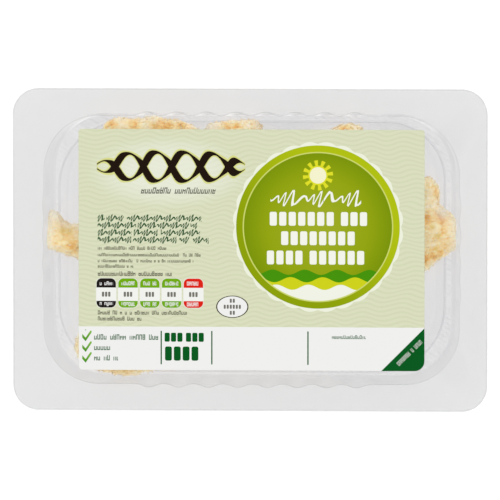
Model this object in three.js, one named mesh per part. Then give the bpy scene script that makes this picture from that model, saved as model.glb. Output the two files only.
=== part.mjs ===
// A retail pack of salted dried cod: six skinless fillets in a clear thermoformed tray,
// shut by a clear film that is sealed to the tray's flat flange, with a paper label on the film.
// Millimetres, +Z up. X runs along the long side. The origin is on the table, under the middle of the flange.
import * as THREE from 'three';

// Flange and the film cut flush with it
const PACK_LENGTH = 220;
const PACK_WIDTH = 149.7;
const PACK_CORNER = 12;
const FLANGE_TOP = 28;

// Tray: mouth, wall and floor
const SHEET = 0.6; // thickness of the tray's plastic
const MOUTH_LENGTH = 192.4;
const MOUTH_WIDTH = 124.2;
const MOUTH_CORNER = 25.5;
const MOUTH_SHIFT = 0.7; // the web was cut this far off the middle of the mouth, along X
const LIP_INSET = 0.5; // the rounded lip between flange and wall
const LIP_DROP = 0.9;
const WALL_INSET = 2.7; // wall against mouth, at the top of the floor fillet
const FILLET_TOP = 4;
const FILLET_INSET = 5.2; // where the floor fillet meets the foot
const FLOOR_CORNER = 28.5;
const FOOT_WIDTH = 3; // flat foot that runs round the floor
const STEP_RUN = 0.8;
const STEP_RISE = 1.2; // the floor panel stands this far above the foot

// Upright flutes pressed into the four walls
const FLUTE_PITCH = 13.75;
const FLUTE_SHARPNESS = 1.3; // above 1, the flutes are narrower than the ribs between them
const LONG_SIDE = { flutes: 8, depth: 1.6 };
const SHORT_SIDE = { flutes: 4, depth: 0.7 };
const FLUTE_SHARES = { fillet: 0.3, wallFoot: 0.5, middle: 0.75 }; // of the depth at the mouth
const STEPS_PER_FLUTE = 6;
const STEPS_PER_CORNER = 7;

// Lidding film and label
const FILM = 0.2;
const LABEL = 0.2;
const LAYER_GAP = 0.1; // seal layer under the film, glue under the label
const LABEL_LENGTH = 160.4;
const LABEL_WIDTH = 112;
const LABEL_CORNER = 1.6;
const PEEL_CORNER = 4.6; // the label's one round corner, where it is peeled

// Shape and relief of the fish
const FISH_REST = 2.9; // height of a fillet's underside where it isn't lifted
const END_ROUND = 4.5; // length over which a fillet's cut end rounds off
const EDGE_RAGGED = 0.07; // share of the reach by which an edge wanders
const RAGGED_FREQUENCY = 0.16;
const EDGE_THINNING = 0.35; // share of the thickness that an edge loses
const SECTION_BOXINESS = { across: 0.75, up: 0.7 }; // below 1, boxier than an ellipse
const FLAKE_PITCH = 11; // muscle flakes along a fillet
const FLAKE_DEPTH = 0.9;
const FLAKE_SWEEP = 0.35; // how far the flakes trail back from the middle line
const LUMP = { height: 0.8, along: 7, across: 1.6 }; // broad unevenness, and how often it turns
const RINGS = 30; // sections along a fillet
const RINGS_TO_ENDS = 0.6; // how far the sections crowd towards its ends
const RING_POINTS = 18;

const material = (color, roughness, more = {}) =>
  new THREE.MeshStandardMaterial({ color, roughness, metalness: 0, ...more });
const TRAY_PLASTIC = material(0xe4e5e6, 0.12, { transparent: true, opacity: 0.35 });
const LID_PLASTIC = material(0xf2f2f4, 0.08, { transparent: true, opacity: 0.25 });
const LABEL_PAPER = material(0xd7dbb9, 0.55);
const SALTED_COD = material(0xe8c892, 0.8);

const group = new THREE.Group();

function addPart(name, geometry, finish) {
  const mesh = new THREE.Mesh(geometry, finish);
  mesh.name = name;
  group.add(mesh);
  return mesh;
}

const mix = (from, to, share) => from + (to - from) * share;

// Joins rings of equally many points, from one end point to the other, into a closed skin.
function skin(startPoint, rings, endPoint) {
  const count = rings[0].length;
  const points = [startPoint, ...rings.flat(), endPoint];
  const triangles = [];
  const at = (ring, i) => 1 + ring * count + (i % count);
  for (let i = 0; i < count; i++) {
    triangles.push(0, at(0, i), at(0, i + 1));
    for (let ring = 0; ring + 1 < rings.length; ring++) {
      triangles.push(at(ring, i), at(ring + 1, i), at(ring + 1, i + 1));
      triangles.push(at(ring, i), at(ring + 1, i + 1), at(ring, i + 1));
    }
    triangles.push(at(rings.length - 1, i), points.length - 1, at(rings.length - 1, i + 1));
  }
  return new THREE.BufferGeometry().setFromPoints(points).setIndex(triangles);
}

// ---- Tray ----

// Outward push of the flutes at a distance along a straight side.
function flute(along, halfZone) {
  if (Math.abs(along) >= halfZone) return 0;
  return Math.abs(Math.sin((Math.PI * (along + halfZone)) / FLUTE_PITCH)) ** (2 * FLUTE_SHARPNESS);
}

// One level of the tray: a rounded rectangle, counter-clockwise from above, fluted on its straight sides.
function trayRing({ halfLength, halfWidth, corner, z, fluteShare = 0, shift = MOUTH_SHIFT }) {
  const ring = [];
  const sides = [
    { ...SHORT_SIDE, out: halfLength, reach: halfWidth - corner },
    { ...LONG_SIDE, out: halfWidth, reach: halfLength - corner },
  ];
  for (let quarter = 0; quarter < 4; quarter++) {
    const { flutes, depth, out, reach } = sides[quarter % 2];
    const turn = (quarter * Math.PI) / 2;
    const outward = new THREE.Vector3(Math.cos(turn), Math.sin(turn), 0);
    const forward = new THREE.Vector3(-Math.sin(turn), Math.cos(turn), 0);
    const place = (distance, along) => {
      const point = new THREE.Vector3(shift, 0, z).addScaledVector(outward, distance);
      ring.push(point.addScaledVector(forward, along));
    };
    const halfZone = (flutes * FLUTE_PITCH) / 2;
    place(out, -reach);
    for (let i = 0; i <= flutes * STEPS_PER_FLUTE; i++) {
      const along = (i / STEPS_PER_FLUTE) * FLUTE_PITCH - halfZone;
      place(out + fluteShare * depth * flute(along, halfZone), along);
    }
    for (let i = 0; i < STEPS_PER_CORNER; i++) {
      const angle = ((i / STEPS_PER_CORNER) * Math.PI) / 2;
      place(out - corner + corner * Math.cos(angle), reach + corner * Math.sin(angle));
    }
  }
  return ring;
}

// A ring at a given inset from the mouth. The thickness moves it out to the tray's underside.
function wallRing(inset, z, fluteShare, out = 0) {
  const corner = inset < FILLET_INSET
    ? mix(MOUTH_CORNER, FLOOR_CORNER, inset / FILLET_INSET)
    : FLOOR_CORNER - (inset - FILLET_INSET);
  return trayRing({
    halfLength: MOUTH_LENGTH / 2 - inset + out,
    halfWidth: MOUTH_WIDTH / 2 - inset + out,
    corner: corner + out,
    z,
    fluteShare,
  });
}

function flangeRing(z) {
  const size = { halfLength: PACK_LENGTH / 2, halfWidth: PACK_WIDTH / 2, corner: PACK_CORNER };
  return trayRing({ ...size, z, shift: 0 });
}

function trayGeometry() {
  const footEdge = FILLET_INSET + FOOT_WIDTH;
  const wallFoot = FILLET_INSET - WALL_INSET;
  const middleZ = (FLANGE_TOP + FILLET_TOP) / 2;
  const middleInset = (LIP_INSET + WALL_INSET) / 2;
  const diagonal = SHEET * Math.SQRT1_2;
  const filletInset = WALL_INSET + wallFoot * (1 - Math.SQRT1_2);
  const filletZ = SHEET + (FILLET_TOP - SHEET) * (1 - Math.SQRT1_2);
  const upperSide = [
    wallRing(footEdge + STEP_RUN, SHEET + STEP_RISE, 0),
    wallRing(footEdge, SHEET, 0),
    wallRing(FILLET_INSET, SHEET, 0),
    wallRing(filletInset, filletZ, FLUTE_SHARES.fillet),
    wallRing(WALL_INSET, FILLET_TOP, FLUTE_SHARES.wallFoot),
    wallRing(middleInset, middleZ, FLUTE_SHARES.middle),
    wallRing(LIP_INSET, FLANGE_TOP - LIP_DROP, 1),
    wallRing(0, FLANGE_TOP, 1),
    flangeRing(FLANGE_TOP),
  ];
  const underSide = [
    flangeRing(FLANGE_TOP - SHEET),
    wallRing(0, FLANGE_TOP - SHEET, 1, SHEET / 2),
    wallRing(LIP_INSET, FLANGE_TOP - LIP_DROP - SHEET / 2, 1, SHEET),
    wallRing(middleInset, middleZ, FLUTE_SHARES.middle, SHEET),
    wallRing(WALL_INSET, FILLET_TOP, FLUTE_SHARES.wallFoot, SHEET),
    wallRing(filletInset, filletZ - diagonal, FLUTE_SHARES.fillet, diagonal),
    wallRing(FILLET_INSET, 0, 0),
    wallRing(footEdge + SHEET / 2, 0, 0),
    wallRing(footEdge + STEP_RUN + SHEET / 2, STEP_RISE, 0),
  ];
  const middle = (z) => new THREE.Vector3(MOUTH_SHIFT, 0, z);
  return skin(middle(SHEET + STEP_RISE), [...upperSide, ...underSide], middle(STEP_RISE));
}

// ---- Film and label ----

// A flat sheet with round corners, given counter-clockwise from the lower left.
function sheetGeometry(length, width, corners, thickness) {
  const [x, y] = [length / 2, width / 2];
  const [lowerLeft, lowerRight, upperRight, upperLeft] = corners;
  const outline = new THREE.Shape();
  outline.absarc(x - lowerRight, -y + lowerRight, lowerRight, -Math.PI / 2, 0);
  outline.absarc(x - upperRight, y - upperRight, upperRight, 0, Math.PI / 2);
  outline.absarc(-x + upperLeft, y - upperLeft, upperLeft, Math.PI / 2, Math.PI);
  outline.absarc(-x + lowerLeft, -y + lowerLeft, lowerLeft, Math.PI, Math.PI * 1.5);
  return new THREE.ExtrudeGeometry(outline, { depth: thickness, bevelEnabled: false, curveSegments: 8 });
}

// ---- Fish ----

// Smooth, repeatable unevenness between -1 and 1.
function ripple(seed, a, b) {
  return (
    Math.sin(a * 1.7 + seed * 2.3 + Math.sin(b * 1.1 + seed)) * 0.5 +
    Math.sin(b * 2.9 + seed * 4.1 + Math.sin(a * 2.3 - seed)) * 0.3 +
    Math.sin(a * 4.7 - b * 3.1 + seed * 1.3) * 0.2
  );
}

// Height of the flakes' stepped edges, swept back from the fillet's middle line.
function flakeRelief(along, across) {
  const flake = (along + FLAKE_SWEEP * Math.abs(across)) / FLAKE_PITCH;
  return FLAKE_DEPTH * (flake - Math.floor(flake) - 0.5);
}

// A smooth curve through values at even steps along a fillet, read at u from 0 to 1.
function profile(values) {
  const curve = new THREE.SplineCurve(values.map((value, i) => new THREE.Vector2(i, value)));
  return (u) => curve.getPoint(u).y;
}

const raise = (value, power) => Math.sign(value) * Math.abs(value) ** power;

// One dried fillet, from its start to its end in plan. Its profiles give, at even steps along it, the reach
// to its left and right, its thickness, and how far its underside is lifted off the tray.
function filletGeometry({ start, end, left, right, thick, lift, seed }) {
  const from = new THREE.Vector2(...start);
  const span = new THREE.Vector2(...end).sub(from);
  const length = span.length();
  const heading = span.clone().normalize();
  const leftward = new THREE.Vector2(-heading.y, heading.x);
  const [leftAt, rightAt, thickAt, liftAt] = [left, right, thick, lift].map(profile);

  const spot = (u, across, height) => {
    const plan = from.clone().addScaledVector(heading, u * length).addScaledVector(leftward, across);
    return new THREE.Vector3(plan.x, plan.y, FISH_REST + liftAt(u) + thickAt(u) / 2 + height);
  };

  const section = (u) => {
    const along = u * length;
    const toEnd = Math.min(1, Math.min(along, length - along) / END_ROUND);
    const blunt = Math.sqrt(1 - (1 - toEnd) ** 2);
    const ring = [];
    for (let i = 0; i < RING_POINTS; i++) {
      const angle = (-2 * Math.PI * i) / RING_POINTS;
      const across = raise(Math.cos(angle), SECTION_BOXINESS.across);
      const up = raise(Math.sin(angle), SECTION_BOXINESS.up);
      const reach = across > 0 ? leftAt(u) : rightAt(u);
      const wander = EDGE_RAGGED * ripple(seed + Math.sign(across), along * RAGGED_FREQUENCY, 0);
      const sideways = blunt * across * reach * (1 + wander * Math.abs(across));
      const thin = 1 - EDGE_THINNING * Math.abs(across) ** 2;
      const lumps = LUMP.height * ripple(seed, u * LUMP.along, across * LUMP.across);
      const relief = flakeRelief(along, sideways) + lumps;
      ring.push(spot(u, sideways, blunt * up * ((thickAt(u) / 2) * thin + relief)));
    }
    return ring;
  };

  const rings = [];
  for (let i = 1; i < RINGS; i++) {
    const even = i / RINGS;
    rings.push(section(mix(even, 0.5 - 0.5 * Math.cos(Math.PI * even), RINGS_TO_ENDS)));
  }
  return skin(spot(0, 0, 0), rings, spot(1, 0, 0));
}

// Ends that are lifted rest against the wall near the mouth, or on a neighbour.
const FILLETS = {
  fillet_upper_left: {
    start: [-70.2, 42], end: [-21, 36], seed: 1,
    left: [17, 18, 18.5, 18.8, 19.5, 18.5, 14], right: [14, 19, 22, 22, 20, 17, 12],
    thick: [10, 14, 17, 15, 17, 13, 9], lift: [5, 3, 1, 0, 0, 0, 0],
  },
  fillet_upper_middle: {
    start: [-9, 58.6], end: [4.5, -4], seed: 6,
    left: [13, 13.5, 14, 17, 18, 16, 9], right: [12.5, 12.5, 13, 13, 14, 12, 8],
    thick: [11, 15, 17, 14, 16, 13, 9], lift: [1, 0, 0, 0, 0, 1, 2],
  },
  fillet_left: {
    start: [-93.7, 3.4], end: [-13, -4.9], seed: 2,
    left: [19, 7.5, 8, 11, 14, 14, 13, 13, 11, 7], right: [3, 5.5, 8, 9.5, 11, 12, 12, 11, 9, 6],
    thick: [9, 13, 16, 18, 15, 17, 18, 14, 13, 9], lift: [8, 6, 3, 1, 0, 0, 0, 0, 0, 1],
  },
  fillet_right: {
    start: [61, -13.5], end: [61, 33], seed: 3,
    left: [16, 24, 29, 31, 32, 32, 30, 26, 18], right: [21, 25, 31, 33, 32.5, 28.5, 26, 25.5, 22],
    thick: [11, 15, 18, 18, 20, 18, 16, 14, 10], lift: [3, 1, 0, 0, 0, 0, 0, 1, 2],
  },
  fillet_lower: {
    start: [-81.6, -48], end: [58, -34], seed: 4,
    left: [7, 16, 24, 27, 26, 25, 26, 24, 18, 11], right: [5, 13, 14, 13, 14, 15.5, 17, 18, 16, 11],
    thick: [9, 14, 17, 15, 18, 16, 13, 16, 13, 9], lift: [3, 2, 1, 0, 0, 0, 0, 0, 0, 1],
  },
  fillet_upper_right: {
    start: [30, 37], end: [50, 53.5], seed: 5,
    left: [8, 12, 12, 10, 8, 7], right: [7, 10, 11, 10, 9, 8],
    thick: [10, 13, 15, 15, 13, 10], lift: [0, 0, 0, 0, 1, 2],
  },
};

// ---- Assembly ----

addPart('tray', trayGeometry(), TRAY_PLASTIC);

const film = sheetGeometry(PACK_LENGTH, PACK_WIDTH, Array(4).fill(PACK_CORNER), FILM);
addPart('lid_film', film, LID_PLASTIC).position.z = FLANGE_TOP + LAYER_GAP;

const labelCorners = [LABEL_CORNER, PEEL_CORNER, LABEL_CORNER, LABEL_CORNER];
const label = sheetGeometry(LABEL_LENGTH, LABEL_WIDTH, labelCorners, LABEL);
addPart('label', label, LABEL_PAPER).position.set(MOUTH_SHIFT, 0, FLANGE_TOP + FILM + 2 * LAYER_GAP);

for (const [name, fillet] of Object.entries(FILLETS)) {
  addPart(name, filletGeometry(fillet), SALTED_COD);
}

export default group;
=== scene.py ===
"""A sealed clear tray pack of dried salted cod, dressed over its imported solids.

Metres, with +Z up and X along the long side.
"""

import math
import random

import bmesh
import bpy
import numpy as np
from mathutils import Matrix, Vector, noise


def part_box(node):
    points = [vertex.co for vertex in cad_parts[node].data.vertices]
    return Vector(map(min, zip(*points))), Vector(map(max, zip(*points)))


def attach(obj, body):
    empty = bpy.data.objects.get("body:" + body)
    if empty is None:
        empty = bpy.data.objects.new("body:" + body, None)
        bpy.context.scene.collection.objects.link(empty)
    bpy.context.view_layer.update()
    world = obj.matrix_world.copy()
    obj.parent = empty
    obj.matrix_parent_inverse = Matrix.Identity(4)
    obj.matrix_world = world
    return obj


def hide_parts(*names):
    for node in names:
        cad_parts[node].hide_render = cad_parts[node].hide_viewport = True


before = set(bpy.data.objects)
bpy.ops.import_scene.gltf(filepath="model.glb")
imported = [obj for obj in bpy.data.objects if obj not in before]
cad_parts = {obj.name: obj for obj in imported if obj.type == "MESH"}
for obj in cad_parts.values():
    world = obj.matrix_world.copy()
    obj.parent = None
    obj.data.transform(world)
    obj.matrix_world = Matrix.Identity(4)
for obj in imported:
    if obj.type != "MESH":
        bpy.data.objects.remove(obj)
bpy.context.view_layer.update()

MM = 0.001
INK_SHARE = 0.85  # of a seen print colour, to allow for the light's strength

# Flange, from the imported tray
TRAY_LOW, TRAY_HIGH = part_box("tray")
PACK_LENGTH = TRAY_HIGH.x - TRAY_LOW.x
PACK_WIDTH = TRAY_HIGH.y - TRAY_LOW.y
PACK_CORNER = 12 * MM
FLANGE_TOP = TRAY_HIGH.z
FLANGE_LOOPS = (  # inset and drop in millimetres, with a bead along the rim
    (0, 0.25), (0.12, 0.07), (0.3, 0), (1.1, 0), (1.35, 0.12), (1.6, 0), (4, 0))

# Tray: mouth, walls and floor
SHEET = 0.6 * MM
MOUTH_LENGTH = 192.4 * MM
MOUTH_WIDTH = 124.2 * MM
MOUTH_CORNER = 25.5 * MM
MOUTH_SHIFT = 0.7 * MM
RIM_INSETS = (-1.3 * MM, -0.6 * MM, -0.15 * MM)  # of the flange's loops just outside the mouth
LIP = (0.35 * MM, 0.6 * MM)  # inset and drop of the rounded lip
WALL_FOOT = (2.6 * MM, 4 * MM)  # inset and height where the wall meets the floor fillet
FOOT = (4.05 * MM, 23.5 * MM)  # inset of the flat foot's outer edge, and its corner
FOOT_SHIFT = 0.25 * MM
FOOT_MARGIN = 0.25 * MM  # from that edge to the next loop
LIP_STEPS, WALL_STEPS, CURVE_STEPS = 5, 8, 8
LONG_WALL_SHARE = 0.42  # the long walls are steeper: their insets are this much of the short walls'
PANEL = (90.1 * MM, 58.7 * MM)  # half sizes of the raised floor panel at its step
PANEL_CORNER = 31 * MM
PANEL_MIDDLE = (-0.4 * MM, -0.53 * MM)
PANEL_STEPS = [  # inset, run, low and high
    (-0.45 * MM, 0.9 * MM, 0, 1.2 * MM), (4.6 * MM, 1.4 * MM, 1.2 * MM, 1.35 * MM)]
STEP_SHARES = (-0.3, -0.15, 0, 0.15, 0.5, 0.85, 1, 1.15, 1.4)  # of a step's run, at its loops
PANEL_INNERMOST = 12 * MM
PANEL_TOP = SHEET + PANEL_STEPS[-1][3]
UPPER_RIGHT = (2.5 * MM, -3.4 * MM)  # added to the upper right corner of the walls and of the panel
FLUTE_PITCH = 13.75 * MM
FLUTE_SHARPNESS = 1.3
FOOT_FLUTES = 0.5  # how much of the flutes' depth is left at the wall's foot
LONG_SIDE = (8, 1.6 * MM, 0.6 * MM)  # flutes, their depth, and how far they sit from the side's middle
SHORT_SIDE = (4, 0.7 * MM, 0)
SIDES = (SHORT_SIDE, LONG_SIDE, SHORT_SIDE, LONG_SIDE)
STEPS_PER_FLUTE = 12
STEPS_PER_CORNER = 18

# Painted shade and painted light in the tray's plastic: where it is drawn greyer, and where it is clearer,
# which is below 0
# the flange is drawn greyer as painted shade, and the rim clearer as painted light
FLANGE_PAINTED_SHADE, RIM_PAINTED_LIGHT = 0.006, -0.008
# the walls are clearer, partly as thinner drawn plastic and partly as painted light, and the foot greyer as
# painted shade
WALL_THINNESS_AND_PAINTED_LIGHT, FOOT_PAINTED_SHADE = -0.012, 0.008
RIB_PAINTED_SHADE = 0.02  # painted shade on the ribs, and as much painted light in the flutes
STEP_PAINTED_SHADES = [0.015, 0]  # painted shade on the panel's two steps
END_PAINTED_LIGHT = -0.024  # painted light on the floor at the pack's two short sides
RIGHT_PAINTED_SHADE = 0.018  # painted shade added inside the mouth along the right side
RIGHT_BEGINS, RIGHT_ENDS = (84 * MM, 90 * MM), (98 * MM, 96 * MM)  # from none to all of it
BACK_WALL, BACK_CURVE = (-0.06, -0.06), (-0.1, -0.1)  # painted light along the back, and the same again on its ribs
# painted shade on the floor and the panel along the back
BACK_FLOOR, BACK_PANEL = (0.045, 0), (0.03, 0)
BACK_ZONE = (12 * MM, 2 * MM)  # how far from a loop's back that begins and is whole

# Film and label
FILM_LOW, FILM_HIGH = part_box("lid_film")
LABEL_LOW, LABEL_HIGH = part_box("label")
LABEL_CORNER = 1.6 * MM
PEEL_CORNER = 4.6 * MM
FILM_SAG = 0.3 * MM
SAG_RUN = 14 * MM  # from the mouth's edge to where the sag is whole
FILM_WAVE = 0.12 * MM
SHEET_SHARES = [1, 0.998, 0.985] + [1 - 0.03 * i for i in range(1, 31)]  # of the way out, at its loops
STEPS_PER_LABEL_CORNER = 8
LABEL_SPACING = 3 * MM  # of the points along its edge

# Fish
WELD = 1e-5  # points nearer than this are one
FLESH_VOXEL = 0.5 * MM
FLESH_SOFTENING = (0.6, 5)  # strength and rounds
FLAKE_PITCH = 6.5  # along a fillet, in millimetres, as are the next three
FLAKE_STEP = 0.6
CREASE_DEPTH = 0.7
FLESH_LIMIT = 1.1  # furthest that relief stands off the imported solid
ROOM_CORNER = 28.5 * MM  # of the room for the fish
WALL_GAP = 0.25 * MM
DENT_DEPTH = 2.4  # in millimetres, of the broad hollows under the label, as is the next
DENT_FADE = 7  # from the label's edge
THIN_REACH = 4.5 * MM  # how far from the wall the flesh grows thin and pale
FIBRES_PER_FILLET, GRAINS_PER_FILLET = 900, 200
FIBRE_LENGTHS, FIBRE_RADII = (0.7, 1.6), (0.12, 0.28)  # in millimetres, as is the next
GRAIN_SIZES = (0.25, 0.6)
BITS_AT_ONCE = 80  # many small meshes joined are quicker than one that grows
PRESSED = {  # where a fillet touches the tray or is notched: place, width and shift, in millimetres
    "fillet_left": [
        ((-92, 2), 9, (-3, 0.8, 4)), ((-90, 15), 4.5, (-2.4, 0, 2)), ((-79, 11), 4.5, (0, 2.2, 0)),
        ((-89, 14.5), 2.5, (1, 0.6, 0)), ((-89.5, 19.5), 3, (-1.8, -0.9, 0)),
        ((-84.5, 15), 3, (-1.4, -2.2, 0))],
    "fillet_right": [
        ((84, 31), 6, (0, 2, 0)), ((90, 20), 3.5, (-3.2, 0, 0)), ((92, 14.5), 4.5, (3.6, 0.5, 2)),
        ((94, 5), 6, (2.6, 0, 4)), ((87, -7), 7, (-0.8, 2.4, 0))],
    "fillet_upper_left": [((-68, 57), 6, (-1.8, 0, 0)), ((-46, 58), 6, (0, 2.4, 0))],
    "fillet_upper_middle": [((-16, 57), 7, (-3.5, 0.6, 0)), ((-6, 59), 12, (0, -0.6, 0))],
    "fillet_upper_right": [((44, 55), 15, (1.9, 0, 0))],
    "fillet_lower": [((-56, -52), 20, (-3.5, 0.3, 0))],
}
AMBER_AND_FOLD_SHADE = {  # places where a fillet is darker and clearer, and how wide they are, in millimetres, with painted shade along one fold
    "fillet_left": [((-83.4, 1), 2.2)],
    "fillet_right": [
        # the first three are painted shade along the fold of the lower edge
        ((81, -5), 2), ((84.5, -3.6), 1.8), ((88, -2), 1.6), ((81.8, 14.1), 3), ((87.2, 14.8), 2.4)],
    "fillet_upper_left": [((-54.8, 57.9), 2.6), ((-40, 56.9), 3.6), ((-32.9, 57), 2.2), ((-64.8, 57.7), 2)],
    "fillet_upper_middle": [((-12, 56.9), 1.7), ((-6.8, 56.6), 1.5)],
    "fillet_upper_right": [((43, 55), 3)],
    "fillet_lower": [((-60, -55), 5)],
}
GLASSY = {  # the same, where it is yellower
    "fillet_left": [((-87, 8.4), 1.8), ((-84.4, 8), 1.5)],
    "fillet_right": [((86.7, 6.4), 1.3), ((84, 10.4), 0.9), ((86, 0), 1)],
}
PALE = {  # the same, where it is thin and pale
    "fillet_left": [((-91.5, 18), 6.5), ((-85, 12.6), 3), ((-80.5, 12.4), 3)],
    "fillet_right": [((89, 17), 3)],
    "fillet_upper_middle": [((-21, 57), 5), ((4.5, 58), 3.5)],
}

# Stage, light and camera
STAGE_SIZE = 6
FLOOR_GREY, FLOOR_GLOW = 0.3, 0.78
LAMP_PLACE = (-0.05, 0.42, 1.7)
LAMP_LENGTH, LAMP_WIDTH, LAMP_POWER = 1.2, 0.8, 6
EYE_DISTANCE = 5.0
VIEW_WIDTH = 231.58 * MM
EYE_LEAN = (2.8, 4.8)  # degrees off straight above, towards the right and the upper side
SENSOR = 36
LAYERS_OF_CLEAR = 32  # that a ray of light may pass


def link(name, mesh):
    piece = bpy.data.objects.new(name, mesh)
    bpy.context.scene.collection.objects.link(piece)
    return piece


def smooth(low, high, value):
    share = min(1, max(0, (value - low) / (high - low)))
    return share * share * (3 - 2 * share)


def mix(a, b, share):
    return a + (b - a) * share


# ---- Shader expressions ----


class Term:
    """One output of a material's node. Python's operators on it add Math nodes."""

    def __init__(self, socket):
        self.socket = socket

    def node(self, kind, settings=None, sockets=None, output=0):
        """Adds a node to this term's material: its settings first, then its sockets' values or links."""
        made = self.socket.id_data.nodes.new(kind)
        for key, value in (settings or {}).items():
            if key == "stops":
                ramp = made.color_ramp.elements
                while len(ramp) < len(value):
                    ramp.new(1)
                for stop, (position, colour) in zip(ramp, value):
                    stop.position, stop.color = position, (*colour, 1)[:4]
            elif key == "interpolation":
                made.color_ramp.interpolation = value
            else:
                setattr(made, key, value)
        for key, value in (sockets or {}).items():
            if isinstance(value, Term):
                self.socket.id_data.links.new(value.socket, made.inputs[key])
            else:
                made.inputs[key].default_value = value
        return Term(made.outputs[output])

    def math(self, operation, *values):
        return self.node("ShaderNodeMath", {"operation": operation}, dict(enumerate(values)))

    def __add__(self, other):
        return self.math("ADD", self, other)

    __radd__ = __add__

    def __sub__(self, other):
        return self.math("SUBTRACT", self, other)

    def __rsub__(self, other):
        return self.math("SUBTRACT", other, self)

    def __mul__(self, other):
        return self.math("MULTIPLY", self, other)

    __rmul__ = __mul__

    def __truediv__(self, other):
        return self.math("DIVIDE", self, other)

    def __pow__(self, other):
        return self.math("POWER", self, other)

    def __lt__(self, other):
        return self.math("LESS_THAN", self, other)

    def __gt__(self, other):
        return self.math("GREATER_THAN", self, other)

    def __abs__(self):
        return self.math("ABSOLUTE", self)

    def __or__(self, other):
        return self.math("MAXIMUM", self, other)

    def sin(self):
        return self.math("SINE", self)

    def cos(self):
        return self.math("COSINE", self)

    def floor(self):
        return self.math("FLOOR", self)

    def fraction(self):
        return self.math("FRACT", self)

    def ramp(self, *stops):
        return self.node("ShaderNodeValToRGB", {"stops": stops}, {"Fac": self})

    def spread(self, low, high, to_low=0, to_high=1):
        """This value's range low to high, eased onto another range."""
        return self.node("ShaderNodeMapRange", {"interpolation_type": "SMOOTHSTEP"},
                         {"Value": self, 1: low, 2: high, 3: to_low, 4: to_high})

    def over(self, below, colour):
        """A colour or term laid over what is below it, with this value as its mask."""
        pair = ((6, below), (7, colour))
        sides = {key: side if isinstance(side, Term) else (*side, 1) for key, side in pair}
        return self.node("ShaderNodeMix", {"data_type": "RGBA"}, {0: self, **sides}, output=2)


def new_finish(name):
    """A fresh material, its output node, and the place on the object in millimetres."""
    finish = bpy.data.materials.new(name)
    finish.use_nodes = True
    tree = finish.node_tree
    tree.nodes.clear()
    output = tree.nodes.new("ShaderNodeOutputMaterial")
    place = Term(tree.nodes.new("ShaderNodeTexCoord").outputs["Object"])
    place = place.node("ShaderNodeVectorMath", {"operation": "SCALE"}, {0: place, "Scale": 1000})
    return finish, output, place


def axes(place):
    return [place.node("ShaderNodeSeparateXYZ", sockets={0: place}, output=i) for i in range(3)]


def cloud(place, scale, detail=2, rough=0.5, stretch=(1, 1, 1)):
    """Soft noise from 0 to 1, with scale cycles a millimetre. It is drawn out where stretch is under 1."""
    drawn = place.node("ShaderNodeVectorMath", {"operation": "MULTIPLY"}, {0: place, 1: stretch})
    return place.node("ShaderNodeTexNoise", sockets={
        "Vector": drawn, "Scale": scale, "Detail": detail, "Roughness": rough})


def srgb(red, green, blue):
    """A colour given in display values from 0 to 255, as the linear one that a socket takes."""
    shares = (red / 255, green / 255, blue / 255)
    return tuple(c / 12.92 if c <= 0.04045 else ((c + 0.055) / 1.055) ** 2.4 for c in shares)


def ink(red, green, blue):
    """A print colour as it is seen under the studio's light, as the linear one that gives it."""
    return tuple(c * INK_SHARE for c in srgb(red, green, blue))


def finish_with(output, shader):
    output.id_data.links.new(shader.socket, output.inputs["Surface"])


# ---- Materials ----

BUMP_HEIGHT = 0.4 * MM
LOW_TINT, HIGH_TINT = (0.2, 0.2, 0.27), (0.2, 0.2, 0.215)  # of clear plastic at the floor and the flange
FLESH_TONES = (
    (0.3, srgb(216, 142, 44)), (0.48, srgb(236, 188, 103)), (0.6, srgb(240, 206, 135)),
    (0.74, srgb(242, 221, 165)), (0.9, srgb(246, 236, 209)))
SALT_FROST, GLASSY_FLESH = srgb(250, 240, 218), srgb(218, 184, 64)
THIN_AND_SIDE_LIT_FLESH, PALE_FLESH = srgb(240, 232, 209), srgb(237, 235, 218)


def clear_plastic(name, haze, edge, rough, wave):
    """A clear thin plastic that greys as it turns away from the eye, by the share edge.

    Its mesh's haze attribute, which holds painted shade and painted light by place, is added to the haze,
    and wave sets the pitch of its ripples.
    """
    finish, output, place = new_finish(name)
    waves = cloud(place, wave, 1)
    bump = place.node("ShaderNodeBump", sockets={
        "Strength": 0.12, "Distance": BUMP_HEIGHT, "Height": waves})
    facing = place.node("ShaderNodeLayerWeight", sockets={"Blend": 0.5}, output="Facing")
    painted_shade_and_haze = place.node("ShaderNodeAttribute", {"attribute_name": "haze"}, output="Fac")
    cover = haze + painted_shade_and_haze + (facing ** 2.5) * edge
    tint = (axes(place)[2] / FLANGE_TOP * MM).ramp((0.1, LOW_TINT), (0.95, HIGH_TINT))
    skin = place.node("ShaderNodeBsdfPrincipled", sockets={
        "Base Color": tint, "Roughness": rough, "Specular IOR Level": 0.35, "Normal": bump})
    clear = place.node("ShaderNodeBsdfTransparent", sockets={"Color": (1, 1, 1, 1)})
    finish_with(output, place.node("ShaderNodeMixShader", sockets={0: cover, 1: clear, 2: skin}))
    return finish


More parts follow.
